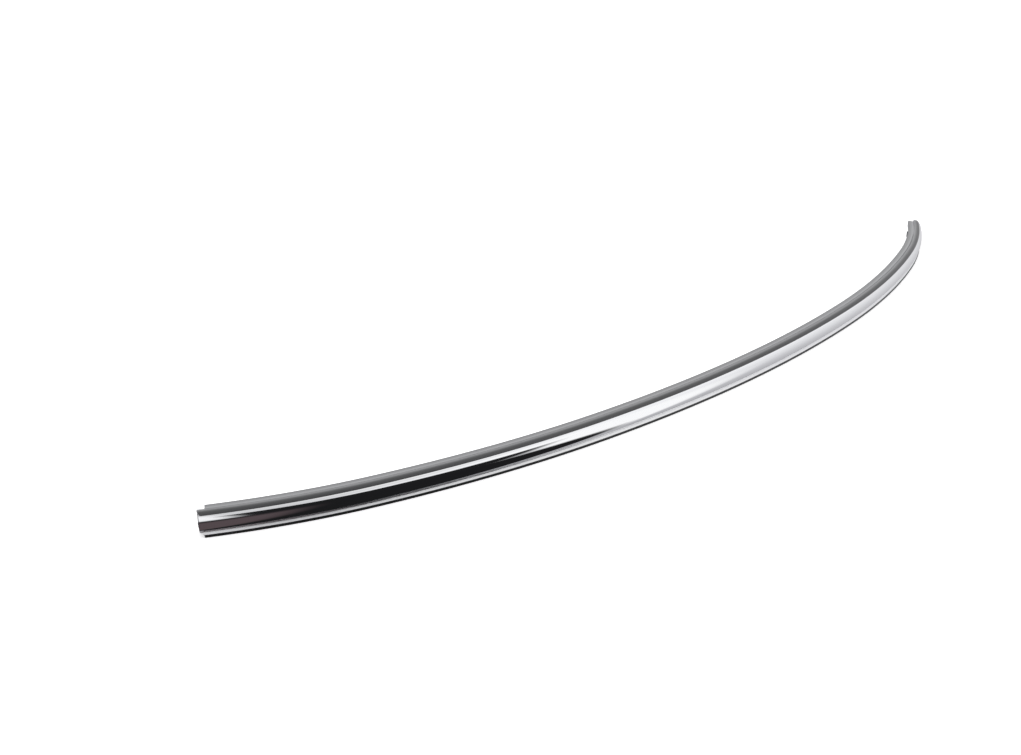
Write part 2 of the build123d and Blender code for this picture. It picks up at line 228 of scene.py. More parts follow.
class TrimStageSettings(bpy.types.PropertyGroup):
    """Floor, lamps and camera."""

    floor_colour: FloatVectorProperty(
        name="Floor colour",
        description="Colour of the plain floor",
        subtype="COLOR",
        size=3,
        min=0.0,
        max=1.0,
        default=(0.93, 0.93, 0.93),
    )
    floor_glow: FloatProperty(
        name="Floor glow",
        description="Light that the floor gives by itself, as a light table does",
        min=0.0,
        default=0.5,
    )
    floor_side: FloatProperty(
        name="Floor side",
        description="Side of the square floor",
        unit="LENGTH",
        min=1.0,
        default=40.0,
    )
    lamp_power: FloatProperty(
        name="Lamp power",
        description="Power of the overhead soft lamp, in watts",
        unit="POWER",
        min=0.0,
        default=14.0,
    )
    backdrop: FloatProperty(
        name="Backdrop",
        description="Brightness of the plain white that the camera sees past the floor",
        min=0.0,
        default=1.0,
    )
    camera_place: FloatVectorProperty(
        name="Camera place",
        description="Where the camera stands, from the middle of the centre clip's stud hole",
        subtype="XYZ",
        unit="LENGTH",
        size=3,
        default=(-1.4245, -0.9255, 0.6295),
    )
    camera_heading: FloatProperty(
        name="Camera heading",
        description="Turn of the camera's line of sight from +Y towards +X",
        subtype="ANGLE",
        default=radians(48.31),
    )
    camera_dip: FloatProperty(
        name="Camera dip",
        description="How far the line of sight falls below the horizon",
        subtype="ANGLE",
        default=radians(20.94),
    )
    lens: FloatProperty(
        name="Lens",
        description="Focal length in millimetres",
        unit="CAMERA",
        min=1.0,
        default=56.4,
    )


# ---- Plan outline and sections -------------------------------------------------------------------


def outline_at(distance_mm):
    """(x, y, heading) of the outline, in millimetres and radians, at a signed distance."""
    x = y = heading = travelled = 0.0
    left = abs(distance_mm)
    for number, (length, radius) in enumerate(ARCS_MM):
        last = number == len(ARCS_MM) - 1
        step = left - travelled if last else min(left - travelled, length)
        turned = heading + step / radius
        x += radius * (sin(turned) - sin(heading))
        y += radius * (cos(heading) - cos(turned))
        heading, travelled = turned, travelled + step
        if travelled >= left:
            break
    side = 1 if distance_mm >= 0 else -1
    return side * x, y, side * heading


def place(distance_mm, depth_mm, height_mm):
    """A point of the moulding, in the frame's metres."""
    x, y, heading = outline_at(distance_mm)
    return Vector(
        (
            (x - sin(heading) * depth_mm) * MM,
            FRONT_Y + (y + cos(heading) * depth_mm) * MM,
            FLOOR_Z + height_mm * MM,
        )
    )


def crown_circle():
    """(centre depth, centre height, radius) of the circle that the cover's face follows."""
    along_d = FACE_FOOT_MM[0] - FACE_TOP_MM[0]
    along_h = FACE_FOOT_MM[1] - FACE_TOP_MM[1]
    chord = sqrt(along_d**2 + along_h**2)
    radius = ((chord / 2) ** 2 + CROWN_RISE_MM**2) / (2 * CROWN_RISE_MM)
    back = radius - CROWN_RISE_MM
    mid_d = (FACE_TOP_MM[0] + FACE_FOOT_MM[0]) / 2
    mid_h = (FACE_TOP_MM[1] + FACE_FOOT_MM[1]) / 2
    return mid_d - along_h / chord * back, mid_h + along_d / chord * back, radius


def crown_points(high_mm, low_mm, inset_mm, count):
    """Points down the crowned face, this far inside it, between two heights."""
    centre_d, centre_h, radius = crown_circle()
    radius -= inset_mm
    start, end = asin((high_mm - centre_h) / radius), asin((low_mm - centre_h) / radius)
    angles = [start + (end - start) * n / (count - 1) for n in range(count)]
    return [(centre_d - radius * cos(a), centre_h + radius * sin(a), 0.0) for a in angles]


def corner_curve(start, corner, end, steps):
    """Points of a smooth curve from start to end that keeps inside a corner."""
    fractions = [n / steps for n in range(steps + 1)]
    return [start * (1 - t) ** 2 + corner * (2 * t * (1 - t)) + end * t**2 for t in fractions]


def arc_through(start, middle, end, count):
    """Points on the circle through three points, from the first to the last."""
    a, b, c = Vector(start), Vector(middle), Vector(end)
    first, second = b - a, c - a
    twice = 2 * first.cross(second)
    square_1, square_2 = first.length_squared, second.length_squared
    centre = a + Vector(
        (
            (second.y * square_1 - first.y * square_2) / twice,
            (first.x * square_2 - second.x * square_1) / twice,
        )
    )
    turn = (a - centre).angle_signed(c - centre)
    points = []
    for n in range(count):
        spoke = a - centre
        spoke.rotate(Matrix.Rotation(-turn * n / (count - 1), 2))
        points.append((*(centre + spoke), 0.0))
    return points


def rounded(corners):
    """A closed section with the corners (depth, height, radius) turned into short curves."""
    points = []
    for number, (depth, height, radius) in enumerate(corners):
        corner = Vector((depth, height))
        before = Vector(corners[number - 1][:2]) - corner
        after = Vector(corners[(number + 1) % len(corners)][:2]) - corner
        if radius == 0:
            points.append(corner)
            continue
        turn = before.angle(-after)
        run = min(radius * sin(turn / 2) / cos(turn / 2), before.length / 2, after.length / 2)
        first, last = corner + before.normalized() * run, corner + after.normalized() * run
        points += corner_curve(first, corner, last, ROUNDING_STEPS)
    return points


def grooved_leg(heights_mm):
    """Corners down a seal's rear face, with a small groove at each height."""
    corners = []
    for height in sorted(heights_mm, reverse=True):
        corners += [
            (DEPTH_MM, height + LEG_GROOVE_MM, GROOVE_ROUND_MM),
            (DEPTH_MM - LEG_GROOVE_MM, height, GROOVE_ROUND_MM),
            (DEPTH_MM, height - LEG_GROOVE_MM, GROOVE_ROUND_MM),
        ]
    return corners


def foot_crease(start):
    """Hollow curve from a point low on the crowned face to the foot flare."""
    centre = Vector(crown_circle()[:2])
    tip, foot = Vector(FLARE_TIP_MM), Vector(FACE_FOOT_MM)
    flare, spoke = (foot - tip).normalized(), (start - centre).normalized()
    falling = Vector((-spoke.y, spoke.x))
    if falling.y > 0:
        falling = -falling
    corner = start + falling * ((tip - start).cross(flare) / falling.cross(flare))
    end = corner - flare * (corner - start).length
    return corner_curve(start, corner, end, CREASE_STEPS)


def cover_section():
    """Crowned face, flared foot, flanges and hems of the bright cover."""
    rear_inside = COVER_REAR_MM - SHEET_MM
    low, high = FLARE_TIP_MM[1], FACE_TOP_MM[1]
    outer = crown_points(high, CREASE_START_MM, 0.0, FACE_POINTS)
    crease = [(*point, 0.0) for point in foot_crease(Vector(outer[-1][:2]))]
    outer[0] = (*FACE_TOP_MM, FOLD_ROUND_MM)
    inner_foot = FACE_FOOT_MM[1] + SHEET_MM
    inner = crown_points(inner_foot, high - SHEET_MM, SHEET_MM, INSIDE_POINTS)
    return rounded(
        [
            *outer[:-1],
            *crease,
            (*FLARE_TIP_MM, FOLD_ROUND_MM),
            (COVER_REAR_MM, low, BEND_ROUND_MM),
            (COVER_REAR_MM, low + HEM_MM, HEM_ROUND_MM),
            (rear_inside, low + HEM_MM, HEM_ROUND_MM),
            (rear_inside, low + SHEET_MM, 0.0),
            (RAIL_FRONT_MM - SHEET_MM / 2, low + SHEET_MM, 0.0),
            *inner,
            (rear_inside, high - SHEET_MM, 0.0),
            (rear_inside, high - HEM_MM, HEM_ROUND_MM),
            (COVER_REAR_MM, high - HEM_MM, HEM_ROUND_MM),
            (COVER_REAR_MM, high, BEND_ROUND_MM),
        ]
    )


def bead_section():
    """Rounded front half of the band on top of the cover, lapped over the face's fold."""
    lap = crown_points(FACE_TOP_MM[1], BEAD_TOE_MM, 0.0, LAP_POINTS)
    toe, crown = lap[-1][:2], (BEAD_CROWN_START_MM, BEAD_TOP_MM)
    return rounded(
        [
            *arc_through(toe, BEAD_SHOULDER_MM, crown, BEAD_POINTS),
            (BEAD_REAR_MM, BEAD_TOP_MM, BEAD_REAR_ROUND_MM),
            (BEAD_REAR_MM, FACE_TOP_MM[1], 0.0),
            *lap[:-1],
        ]
    )


def upper_seal_section():
    """Rear half of the band, with a drip line along it and a leg down the body face."""
    high = FACE_TOP_MM[1]
    slope = (SEAL_TOP_MM - BEAD_TOP_MM) / (DEPTH_MM - SEAL_FRONT_MM)
    top = BEAD_TOP_MM + slope * (DRIP_START_MM - SEAL_FRONT_MM)
    drip_floor, drip_end = top - DRIP_DEPTH_MM, DRIP_START_MM + DRIP_WIDTH_MM
    return rounded(
        [
            (SEAL_FRONT_MM, high, 0.0),
            (SEAL_FRONT_MM, BEAD_TOP_MM, SEAL_FRONT_ROUND_MM),
            (DRIP_START_MM, top, GROOVE_ROUND_MM),
            (DRIP_START_MM + DRIP_SIDE_MM, drip_floor, GROOVE_ROUND_MM),
            (drip_end - DRIP_SIDE_MM, drip_floor, GROOVE_ROUND_MM),
            (drip_end, top + DRIP_RISE_MM, GROOVE_ROUND_MM),
            (DEPTH_MM, SEAL_TOP_MM, SEAL_TOP_ROUND_MM),
            *grooved_leg(UPPER_GROOVES_MM),
            (DEPTH_MM, high - SEAL_LEG_MM, LEG_OUTER_ROUND_MM),
            (COVER_REAR_MM, high - SEAL_LEG_MM, LEG_INNER_ROUND_MM),
            (COVER_REAR_MM, high, 0.0),
        ]
    )


def lower_seal_section():
    """Flat strip under the cover, with a lip in front and a leg up the body face."""
    low = FLARE_TIP_MM[1]
    front, rear = CHANNEL_MM
    return rounded(
        [
            (0.0, low, LIP_TOP_ROUND_MM),
            (COVER_REAR_MM, low, 0.0),
            (COVER_REAR_MM, low + SEAL_LEG_MM, LEG_INNER_ROUND_MM),
            (DEPTH_MM, low + SEAL_LEG_MM, LEG_OUTER_ROUND_MM),
            *grooved_leg(LOWER_GROOVES_MM),
            (DEPTH_MM, 0.0, HEEL_ROUND_MM),
            (rear, 0.0, CHANNEL_ROUND_MM),
            (rear - CHANNEL_SIDE_MM, CHANNEL_DEPTH_MM, CHANNEL_ROUND_MM),
            (front + CHANNEL_SIDE_MM, CHANNEL_DEPTH_MM, CHANNEL_ROUND_MM),
            (front, 0.0, CHANNEL_ROUND_MM),
            (0.0, 0.0, LIP_FOOT_ROUND_MM),
        ]
    )


def round_end(radius_mm, gap_mm):
    """How much earlier than the end a line stops, this far from the corner's edge."""
    if gap_mm >= radius_mm:
        return 0.0
    return radius_mm - sqrt(radius_mm**2 - (radius_mm - max(gap_mm, 0.0)) ** 2)


def station_distances(half_mm):
    """Distances of the stations, closer together at both ends."""
    inner = half_mm - END_ZONE_MM
    steps = ceil(2 * inner / STATION_SPACING_MM)
    middle = [-inner + 2 * inner * n / steps for n in range(steps + 1)]
    zone = [inner + END_ZONE_MM * n / END_STATIONS for n in range(1, END_STATIONS + 1)]
    return [-d for d in reversed(zone)] + middle + zone


def swept(name, section, half_mm, end_trim, materials):
    """A closed section carried round the outline, with ends that end_trim shapes."""
    mesh = bpy.data.meshes.new(name)
    shape = bmesh.new()
    uv_layer = shape.loops.layers.uv.new(UV_NAME)
    trims = [end_trim(p.x, p.y) for p in section]
    girth = [0.0]
    for number, point in enumerate(section):
        girth.append(girth[-1] + (section[(number + 1) % len(section)] - point).length)
    rings, where = [], {}
    for distance in station_distances(half_mm):
        side = 1 if distance >= 0 else -1
        past = max(0.0, abs(distance) - (half_mm - END_ZONE_MM)) / END_ZONE_MM
        ring = []
        for point, trim in zip(section, trims):
            at = distance - side * trim * past
            vert = shape.verts.new(place(at, point.x, point.y))
            where[vert] = at * MM
            ring.append(vert)
        rings.append(ring)
    count = len(section)
    for before, after in zip(rings, rings[1:]):
        for n in range(count):
            m = (n + 1) % count
            face = shape.faces.new((before[n], before[m], after[m], after[n]))
            face.smooth = True
            for loop, far in zip(face.loops, (n, n + 1, n + 1, n)):
                loop[uv_layer].uv = (where[loop.vert], girth[far] * MM)
    for ring in (rings[0], rings[-1]):
        cap = shape.faces.new(ring)
        cap.material_index = len(materials) - 1
        for loop, point in zip(cap.loops, section):
            loop[uv_layer].uv = point * MM
    bmesh.ops.recalc_face_normals(shape, faces=shape.faces)
    shape.to_mesh(mesh)
    shape.free()
    mesh.set_sharp_from_angle(angle=SHARP_ANGLE)
    for material in materials:
        mesh.materials.append(material)
    piece = bpy.data.objects.new(name, mesh)
    bpy.context.scene.collection.objects.link(piece)
    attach(piece, BODY)
    return piece


# ---- Grain of the finishes, in features per metre on each axis -----------------------------------
# On a swept piece the first axis runs along it and the second round its section.
ROLLING_WAVES = (5.0, 60.0, 1.0)
POLISHING_LINES = (14.0, 3200.0, 1.0)
SHEET_HAZE = (22.0, 150.0, 1.0)
SHEARED_GRAIN = (2500.0, 2500.0, 1.0)
DIE_LINES = (9.0, 1900.0, 1.0)
RUBBER_GRAIN = (3800.0, 3800.0, 1.0)
RUBBER_TONE = (30.0, 120.0, 1.0)
PLASTIC_TONE = (45.0, 45.0, 45.0)
METAL_PATCHES = (260.0, 260.0, 260.0)
SPRING_STEEL_LINES = (400.0, 400.0, 4000.0)
ZINC_GRAIN = (1500.0, 1500.0, 1500.0)
FLOOR_TONE = (2.0, 2.0, 2.0)

# ---- How much the grain changes each finish ------------------------------------------------------
SHEET_TINTS = (0.985, 1.0)
LINE_DULLNESS, HAZE_DULLNESS, HAZE_SPREAD = 0.035, 0.04, (0.5, 0.8)
LINE_HEIGHT = 0.02  # of a polishing line, as a share of a rolling wave
SHEARED_TINTS = (0.05, 0.05, 0.055), (0.14, 0.14, 0.15)
SHEARED_ROUGHNESS, SHEARED_DULLNESS, SHEARED_DEPTH = 0.45, 0.2, 0.00005
RUBBER_TINTS, RUBBER_IOR = (0.86, 1.14), 1.65
TONE_SHARE, LINE_SHARE = 0.6, 0.4  # in the rubber's colour
RUBBER_DULLNESS, DIE_LINE_GLOSS = 0.14, 0.05
GRAIN_SHARE, DIE_LINE_SHARE = 0.55, 0.45  # in the rubber's height
PLASTIC_TINTS, PLASTIC_DULLNESS = (0.88, 1.1), 0.12
STAIN_SPREAD, STAIN_DULLNESS, METAL_LINE_DEPTH = (0.42, 0.68), 0.16, 0.00002
FLOOR_TINT, FLOOR_ROUGHNESS, FLOOR_DULLNESS, FLOOR_CELLS = 0.995, 0.85, 0.05, 8
BEAD_SHADING_MM, SEAL_SHADING_MM = (3.0, 9.8), (4.6, 6.4)  # round each section, where the painted light and shade change the colour
# The first of these darkens the upper seal's rear and leg, a painted shade.
REAR_SHADE_TINT, BACKING_TINT, BLOCK_TINT = 0.76, 2.2, 1.4
BLUED_STAIN, YELLOWED_STAIN = (0.12, 0.13, 0.20), (0.55, 0.53, 0.42)


# ---- Shader graphs -------------------------------------------------------------------------------


class Value:
    """A socket of a graph. Arithmetic on it adds Math nodes."""

    def __init__(self, graph, socket):
        self.graph = graph
        self.socket = socket

    def part(self, name):
        """Another output of the same node."""
        return Value(self.graph, self.socket.node.outputs[name])

    def __add__(self, other):
        return self.graph.maths("ADD", self, other)

    def __sub__(self, other):
        return self.graph.maths("SUBTRACT", self, other)

    def __rsub__(self, other):
        return self.graph.maths("SUBTRACT", other, self)

    def __mul__(self, other):
        return self.graph.maths("MULTIPLY", self, other)

    __radd__ = __add__
    __rmul__ = __mul__


class Graph:
    """The node tree of a material or of the world."""

    def __init__(self, tree):
        self.tree = tree
        tree.nodes.clear()

    def node(self, kind, settings, inputs, output=0):
        """A node with its settings made first, then its inputs set or linked."""
        made = self.tree.nodes.new(kind)
        for name, value in settings.items():
            setattr(made, name, value)
        for name, value in inputs.items():
            if isinstance(value, Value):
                self.tree.links.new(value.socket, made.inputs[name])
            else:
                made.inputs[name].default_value = value
        return Value(self, made.outputs[output] if made.outputs else None)

    def maths(self, operation, *values):
        """A Math node on one or more numbers."""
        return self.node("ShaderNodeMath", {"operation": operation}, dict(enumerate(values)))

    def ramp(self, value, start, end):
        """A smooth step from 0 at start to 1 at end."""
        inputs = {"Value": value, "From Min": start, "From Max": end}
        return self.node("ShaderNodeMapRange", {"interpolation_type": "SMOOTHSTEP"}, inputs)

    def noise(self, place_in, stretch, detail=3.0, roughness=0.5):
        """Noise whose features are 1 / stretch metres long on each axis."""
        scaled = self.node(
            "ShaderNodeVectorMath", {"operation": "MULTIPLY"}, {0: place_in, 1: stretch}
        )
        inputs = {"Vector": scaled, "Scale": 1.0, "Detail": detail, "Roughness": roughness}
        return self.node("ShaderNodeTexNoise", {}, inputs)

    def colour_mix(self, factor, first, second):
        """A colour between two colours."""
        return self.node(
            "ShaderNodeMix",
            {"data_type": "RGBA"},
            {0: factor, 6: opaque(first), 7: opaque(second)},
            output=2,
        )

    def bump(self, height, distance):
        """A normal bent by a height that runs from 0 to 1 over this distance."""
        return self.node("ShaderNodeBump", {}, {"Distance": distance, "Height": height})


def opaque(colour):
    """A colour socket's value from a colour, or a link as it is."""
    return colour if isinstance(colour, Value) else (*colour, 1.0)


def tinted(colour, factor):
    """A colour made lighter or darker."""
    return tuple(min(1.0, channel * factor) for channel in colour)


def material(name, build, **fixed):
    """A material whose varying sockets come from build, and whose others are set once."""
    made = bpy.data.materials.new(name)
    made.use_nodes = True
    graph = Graph(made.node_tree)
    shader = graph.node("ShaderNodeBsdfPrincipled", {}, {**fixed, **build(graph)})
    graph.node("ShaderNodeOutputMaterial", {}, {"Surface": shader})
    return made


def along_piece(graph):
    """Metres along a swept piece and round its section."""
    return graph.node("ShaderNodeUVMap", {"uv_map": UV_NAME}, {})


def in_frame(graph):
    """Metres in the frame, for the CAD pieces."""
    return graph.node("ShaderNodeTexCoord", {}, {}, output="Object")


def polished_sheet(settings):
    """Bright sheet with slow rolling waves and faint polishing lines along it."""

    def build(graph):
        at = along_piece(graph)
        waves = graph.noise(at, ROLLING_WAVES, detail=1.0)
        lines = graph.noise(at, POLISHING_LINES, detail=4.0)
        haze = graph.noise(at, SHEET_HAZE, detail=5.0, roughness=0.6)
        girth = graph.node("ShaderNodeSeparateXYZ", {}, {"Vector": at}, output="Y")
        # the polishing wheel doesn't reach down into the foot, so it stays duller
        foot = graph.ramp(girth, FOOT_START_MM * MM, FOOT_END_MM * MM)
        streaked = settings.roughness + LINE_DULLNESS * lines
        hazed = streaked + HAZE_DULLNESS * graph.ramp(haze, *HAZE_SPREAD)
        dark, light = (tinted(settings.colour, factor) for factor in SHEET_TINTS)
        return {
            "Base Color": graph.colour_mix(haze, dark, light),
            "Roughness": hazed + settings.foot_roughness * foot,
            "Normal": graph.bump(waves + LINE_HEIGHT * lines, settings.ripple),
        }

    return material("polished_sheet", build, Metallic=1.0)


def cut_edge():
    """Sheared edge of the sheet, left unpolished."""

    def build(graph):
        grain = graph.noise(along_piece(graph), SHEARED_GRAIN, detail=4.0)
        return {
            "Base Color": graph.colour_mix(grain, *SHEARED_TINTS),
            "Roughness": SHEARED_ROUGHNESS + SHEARED_DULLNESS * grain,
            "Normal": graph.bump(grain, SHEARED_DEPTH),
        }

    return material("cut_edge", build, Metallic=1.0)


def extruded_rubber(name, colours, shading_mm, roughness, grain_depth):
    """Soft extrusion with die lines and a fine grain, whose colour fades round its section as
    painted light and shade.

    The first colour turns into the second between two distances round the section, which paints
    light and shade on the rubber.
    """

    def build(graph):
        at = along_piece(graph)
        girth = graph.node("ShaderNodeSeparateXYZ", {}, {"Vector": at}, output="Y")
        # Painted light and shade: a ramp round the section from the first colour to the second.
        painted_shading = graph.ramp(girth, shading_mm[0] * MM, shading_mm[1] * MM)
        lines = graph.noise(at, DIE_LINES, detail=3.0)
        grain = graph.noise(at, RUBBER_GRAIN, detail=2.0)
        tone = graph.noise(at, RUBBER_TONE, detail=5.0, roughness=0.65)
        mixed = tone * TONE_SHARE + lines * LINE_SHARE
        dark, light = ([tinted(colour, factor) for colour in colours] for factor in RUBBER_TINTS)
        return {
            "Base Color": graph.colour_mix(
                painted_shading,
                graph.colour_mix(mixed, dark[0], light[0]),
                graph.colour_mix(mixed, dark[1], light[1]),
            ),
            "Roughness": roughness + RUBBER_DULLNESS * tone - DIE_LINE_GLOSS * lines,
            "Normal": graph.bump(grain * GRAIN_SHARE + lines * DIE_LINE_SHARE, grain_depth),
        }

    return material(name, build, IOR=RUBBER_IOR)


def moulded_plastic(name, colour, roughness, grain_size, grain_depth):
    """Moulded plastic with a fine even grain."""

    def build(graph):
        at = in_frame(graph)
        grain = graph.noise(at, (1 / grain_size,) * 3, detail=2.0)
        tone = graph.noise(at, PLASTIC_TONE, detail=4.0, roughness=0.6)
        dark, light = (tinted(colour, factor) for factor in PLASTIC_TINTS)
        return {
            "Base Color": graph.colour_mix(tone, dark, light),
            "Roughness": roughness + PLASTIC_DULLNESS * tone,
            "Normal": graph.bump(grain, grain_depth),
        }

    return material(name, build)


def worked_metal(name, colour, stain, roughness, grain):
    """Plated or tempered metal, with stains of a second colour and a directional grain."""

    def build(graph):
        at = in_frame(graph)
        lines = graph.noise(at, grain, detail=4.0)
        patches = graph.noise(at, METAL_PATCHES, detail=4.0, roughness=0.6)
        stained = graph.ramp(patches, *STAIN_SPREAD)
        return {
            "Base Color": graph.colour_mix(stained, colour, stain),
            "Roughness": roughness + STAIN_DULLNESS * patches,
            "Normal": graph.bump(lines, METAL_LINE_DEPTH),
        }

    return material(name, build, Metallic=1.0)


def dress(node, finish):
    """Gives a CAD node's object this material in every slot."""
    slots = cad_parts[node].data.materials
    slots.clear()
    slots.append(finish)


def nodes_like(start):
    """Names of the CAD nodes that start this way."""
    found = sorted(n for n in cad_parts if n.startswith(start))
    if not found:
        raise RuntimeError(f"the frame has no node that starts with {start}")
    return found


# ---- Operators -----------------------------------------------------------------------------------


class TRIM_OT_cover(bpy.types.Operator):
    """Make the crowned bright cover"""

    bl_idname = "trim.cover"
    bl_label = "Bright cover"

    def execute(self, context):
        section = cover_section()
        finishes = [polished_sheet(context.scene.trim_cover), cut_edge()]
        piece = swept(
            "bright_cover_sheet",
            section,
            HALF_LENGTH_MM + COVER_OVERHANG_MM,
            lambda depth, height: round_end(COVER_CORNER_MM, height - FLARE_TIP_MM[1]),
            finishes,
        )
        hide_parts("bright_cover")
        return {"FINISHED"}


class TRIM_OT_upper_band(bpy.types.Operator):
    """Make the bead and the seal on top of the cover"""

    bl_idname = "trim.upper_band"
    bl_label = "Upper band"

    def execute(self, context):
        settings, section = context.scene.trim_seals, bead_section()
        # Painted light and shade: the bead is painted dark at its front and light grey on top, as
        # the light falls on it.
        dark, light = settings.bead_shaded_colour[:], settings.upper_lit_colour[:]
        # Painted shade: the rear of the seal's top and its leg are painted darker than its front.
        rear = tinted(light, REAR_SHADE_TINT)
        shaded_bead_material = extruded_rubber(
            "bead_rubber_painted_shading", (dark, light), shading_mm=BEAD_SHADING_MM, roughness=0.3, grain_depth=0.00002
        )
        shaded_seal_material = extruded_rubber(
            "upper_seal_rubber_painted_shading",
            (light, rear),
            shading_mm=SEAL_SHADING_MM,
            roughness=0.36,
            grain_depth=0.00003,
        )
        bead = swept(
            "upper_bead_strip",
            section,
            HALF_LENGTH_MM + COVER_OVERHANG_MM,
            lambda depth, height: round_end(BEAD_CORNER_MM, depth - section[0].x),
            [shaded_bead_material],
        )
        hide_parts("upper_bead")
        seal = swept(
            "upper_seal_strip",
            upper_seal_section(),
            HALF_LENGTH_MM - SEAL_SHORTFALL_MM,
            lambda depth, height: round_end(SEAL_CORNER_MM, DEPTH_MM - depth),
            [shaded_seal_material],
        )
        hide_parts("upper_seal")
        return {"FINISHED"}


class TRIM_OT_lower_seal(bpy.types.Operator):
    """Make the seal and lip under the cover, dark rubber painted near black for the shade it sits in
    """

    bl_idname = "trim.lower_seal"
    bl_label = "Lower seal"

    def execute(self, context):
        # Partly painted shade: near black for the shade the lip sits in.
        colour = context.scene.trim_seals.lower_shaded_colour[:]
        finish = extruded_rubber(
            "lower_seal_rubber_painted_shade",
            (colour, colour),
            shading_mm=(0.0, 1.0),
            roughness=0.42,
            grain_depth=0.00004,
        )
        seal = swept(
            "lower_seal_strip",
            lower_seal_section(),
            HALF_LENGTH_MM,
            lambda depth, height: round_end(SEAL_CORNER_MM, depth),
            [finish],
        )
        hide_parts("lower_seal")
        return {"FINISHED"}


class TRIM_OT_carrier(bpy.types.Operator):
    """Finish the rail, the face backings and the end blocks"""

    bl_idname = "trim.carrier"
    bl_label = "Rail and backings"

    def execute(self, context):
        colour = context.scene.trim_hardware.rail_colour[:]
        backing_colour, block_colour = tinted(colour, BACKING_TINT), tinted(colour, BLOCK_TINT)
        rail = moulded_plastic(
            "rail_plastic", colour, roughness=0.5, grain_size=0.0004, grain_depth=0.00003
        )
        dress("carrier_rail", rail)
        backing = moulded_plastic(
            "backing_plastic", backing_colour, roughness=0.6, grain_size=0.0007, grain_depth=0.00005
        )
        for node in nodes_like("face_backing_"):
            dress(node, backing)
        block = moulded_plastic(
            "block_plastic", block_colour, roughness=0.45, grain_size=0.0005, grain_depth=0.00004
        )
        for node in nodes_like("end_block_"):
            dress(node, block)
        return {"FINISHED"}


class TRIM_OT_clips(bpy.types.Operator):
    """Finish the stud clips and their push-on nuts"""

    bl_idname = "trim.clips"
    bl_label = "Clips and nuts"

    def execute(self, context):
        settings = context.scene.trim_hardware
        colour = settings.clip_colour[:]
        nylon = moulded_plastic(
            "clip_nylon", colour, roughness=0.38, grain_size=0.0006, grain_depth=0.00003
        )
        for node in ["centre_clip", *nodes_like("stud_clip_")]:
            dress(node, nylon)
        steel = worked_metal(
            "nut_spring_steel",
            settings.nut_colour[:],
            stain=BLUED_STAIN,
            roughness=0.28,
            grain=SPRING_STEEL_LINES,
        )
        for node in ["centre_push_nut", *nodes_like("push_nut_")]:
            dress(node, steel)
        return {"FINISHED"}


class TRIM_OT_screws(bpy.types.Operator):
    """Finish the grub screws and the end screws"""

    bl_idname = "trim.screws"
    bl_label = "Screws"

    def execute(self, context):
        colour = context.scene.trim_hardware.screw_colour[:]
        zinc = worked_metal(
            "screw_zinc", colour, stain=YELLOWED_STAIN, roughness=0.25, grain=ZINC_GRAIN
        )
        for node in [*nodes_like("grub_screw_"), *nodes_like("end_screw_")]:
            dress(node, zinc)
        return {"FINISHED"}


def make_floor(settings):
    """Plain pale floor under the moulding."""

    def build(graph):
        tone = graph.noise(in_frame(graph), FLOOR_TONE, detail=2.0)
        colour = settings.floor_colour[:]
        return {
            "Base Color": graph.colour_mix(tone, tinted(colour, FLOOR_TINT), colour),
            "Roughness": FLOOR_ROUGHNESS + FLOOR_DULLNESS * tone,
        }

    mesh = bpy.data.meshes.new("floor")
    shape = bmesh.new()
    half = settings.floor_side / 2
    bmesh.ops.create_grid(shape, x_segments=FLOOR_CELLS, y_segments=FLOOR_CELLS, size=half)
    shape.to_mesh(mesh)
    shape.free()
    glow = {"Emission Color": (1.0, 1.0, 1.0, 1.0), "Emission Strength": settings.floor_glow}
    mesh.materials.append(material("floor_paint", build, **glow))
    floor = bpy.data.objects.new("floor", mesh)
    floor.location = (0.0, 0.0, FLOOR_Z)
    floor.visible_glossy = False
    bpy.context.scene.collection.objects.link(floor)


def make_lamp(name, at, side, power):
    """Square soft lamp, aimed at the origin, that lights the pieces but doesn't mirror in them."""
    light = bpy.data.lights.new(name, "AREA")
    light.shape = "SQUARE"
    light.size = side
    light.energy = power
    lamp = bpy.data.objects.new(name, light)
    lamp.location = at
    lamp.rotation_euler = (-Vector(at)).to_track_quat("-Z", "Y").to_euler()
    lamp.visible_glossy = False
    lamp.visible_camera = False
    bpy.context.scene.collection.objects.link(lamp)


# ---- Stage ---------------------------------------------------------------------------------------
LAMP_PLACE, LAMP_SIDE = (0.0, 0.0, 2.2), 2.6
CLIP_DISTANCES = (0.05, 100.0)  # nearest and furthest that the camera sees

# ---- Room that the bright face mirrors -----------------------------------------------------------
# Each pair is where a soft edge starts and ends, in degrees. Lefts and rights are azimuths from
# straight in front of the moulding, towards its right end. Tops and bottoms are elevations.
DARK_LEFT, DARK_RIGHT, DARK_TOP = (-24.0, -18.0), (16.5, 23.5), (40.0, 44.0)
DARK_SPREAD_BELOW, DARK_SPREAD_ABOVE = 0.77, 0.4  # of its right edge, per degree from the horizon
DARK_TOP_TILT = 0.55
DARK_LOW_LEFT, DARK_LOW_TOP = (-80.0, -50.0), (15.0, 27.0)
WARM_RIGHT, WARM_TOP = (-18.0, -4.0), (-5.0, 19.0)
SHEET_LEFT, SHEET_RIGHT = (22.0, 26.0), (43.0, 56.0)
OVERHEAD_LEFT, OVERHEAD_RIGHT, OVERHEAD_BOTTOM = (-26.0, -14.0), (-4.0, 80.0), (38.0, 52.0)
BEHIND_START, BEHIND_TOP = (112.0, 126.0), (12.0, 34.0)  # to either side
SKY_RISE = (-62.0, 66.0)
DARK_SHADE, WARM_SHADE = (0.012, 0.012, 0.013), (0.092, 0.070, 0.075)
SKY_LOW, SKY_HIGH, SHEET_WHITE = (0.43, 0.43, 0.45), (1.02, 1.02, 1.03), (1.02, 1.02, 1.02)
OVERHEAD_GREY, OVERHEAD_DIMMING = (0.22, 0.22, 0.23), 0.45
BEHIND_GREY, BEHIND_DIMMING = (0.2, 0.2, 0.21), 0.6


